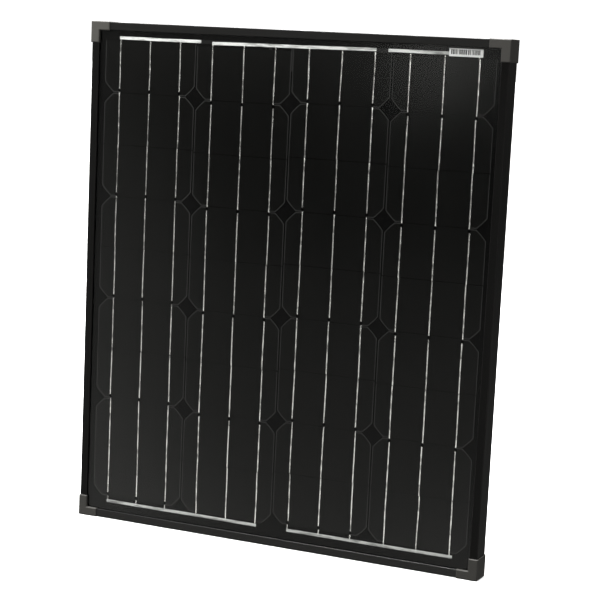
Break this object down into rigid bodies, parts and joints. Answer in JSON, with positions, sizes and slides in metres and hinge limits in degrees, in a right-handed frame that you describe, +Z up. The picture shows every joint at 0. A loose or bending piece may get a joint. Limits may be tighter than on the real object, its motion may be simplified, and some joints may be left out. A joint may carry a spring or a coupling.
{
  "type": "framed solar panel",
  "caption": "Framed photovoltaic panel: half-cut dark cells under glass in a black frame with corner caps, and a junction box with a hinged lid behind.",
  "frame": {"origin": "on the ground below the panel's middle: centre of the overall box in X and Y, undersides of the bottom corner caps in Z", "axes": "+X to the right of someone facing the glass, +Y from the glass to the back, +Z up along the panel's height"},
  "size_m": [0.6762, 0.039, 0.7816],
  "materials": {
    "frame_anodised": "black anodised, satin",
    "corner_key": "mill finish",
    "corner_cap": "moulded, satin",
    "cell": "blue-black nitride coat",
    "tinned_ribbon": "tinned copper, bright",
    "glass": "clear tempered, low iron",
    "front_encapsulant": "clear film",
    "rear_encapsulant": "black film",
    "backsheet": "black film, matte",
    "sealant": "black silicone",
    "serial_label": "white film",
    "rating_label": "silver film, blank",
    "box_plastic": "moulded, fine texture",
    "rubber": "soft",
    "gland_plastic": "moulded nylon",
    "steel": "stainless",
    "terminal": "tinned",
    "diode": "moulded"
  },
  "bodies": {
    "panel": {"backsheet": "backsheet", "bottom_bus_left": "tinned_ribbon", "bottom_bus_right": "tinned_ribbon", "box_adhesive": "sealant", "box_gasket": "rubber", "bypass_diode_left": "diode", "bypass_diode_right": "diode", "cell_string_1": "cell", "cell_string_2": "cell", "cell_string_3": "cell", "cell_string_4": "cell", "corner_cap_bottom_left": "corner_cap", "corner_cap_bottom_right": "corner_cap", "corner_cap_top_left": "corner_cap", "corner_cap_top_right": "corner_cap", "corner_key_bottom_left": "corner_key", "corner_key_bottom_right": "corner_key", "corner_key_top_left": "corner_key", "corner_key_top_right": "corner_key", "edge_sealant": "sealant", "frame_bottom": "frame_anodised", "frame_left": "frame_anodised", "frame_right": "frame_anodised", "frame_top": "frame_anodised", "front_encapsulant": "front_encapsulant", "gland_body_left": "gland_plastic", "gland_body_right": "gland_plastic", "gland_locknuts": "gland_plastic", "gland_nut_left": "gland_plastic", "gland_nut_right": "gland_plastic", "gland_seal_left": "rubber", "gland_seal_right": "rubber", "glass": "glass", "junction_box": "box_plastic", "lead_out_left": "tinned_ribbon", "lead_out_middle": "tinned_ribbon", "lead_out_right": "tinned_ribbon", "lid_hinge_pin": "steel", "rating_label": "rating_label", "rear_encapsulant": "rear_encapsulant", "ribbons_string_1": "tinned_ribbon", "ribbons_string_2": "tinned_ribbon", "ribbons_string_3": "tinned_ribbon", "ribbons_string_4": "tinned_ribbon", "serial_label": "serial_label", "terminal_left": "terminal", "terminal_middle": "terminal", "terminal_right": "terminal", "terminal_screws": "steel", "top_bus_left": "tinned_ribbon", "top_bus_middle": "tinned_ribbon", "top_bus_right": "tinned_ribbon"},
    "lid": {"box_lid": "box_plastic"}
  },
  "joints": [
    {"name": "lid_hinge", "type": "hinge", "parent": "panel", "child": "lid", "pos_m": [0, 0.0111, 0.7453], "axis": [1, 0, 0], "range_deg": [0, 110]}
  ]
}
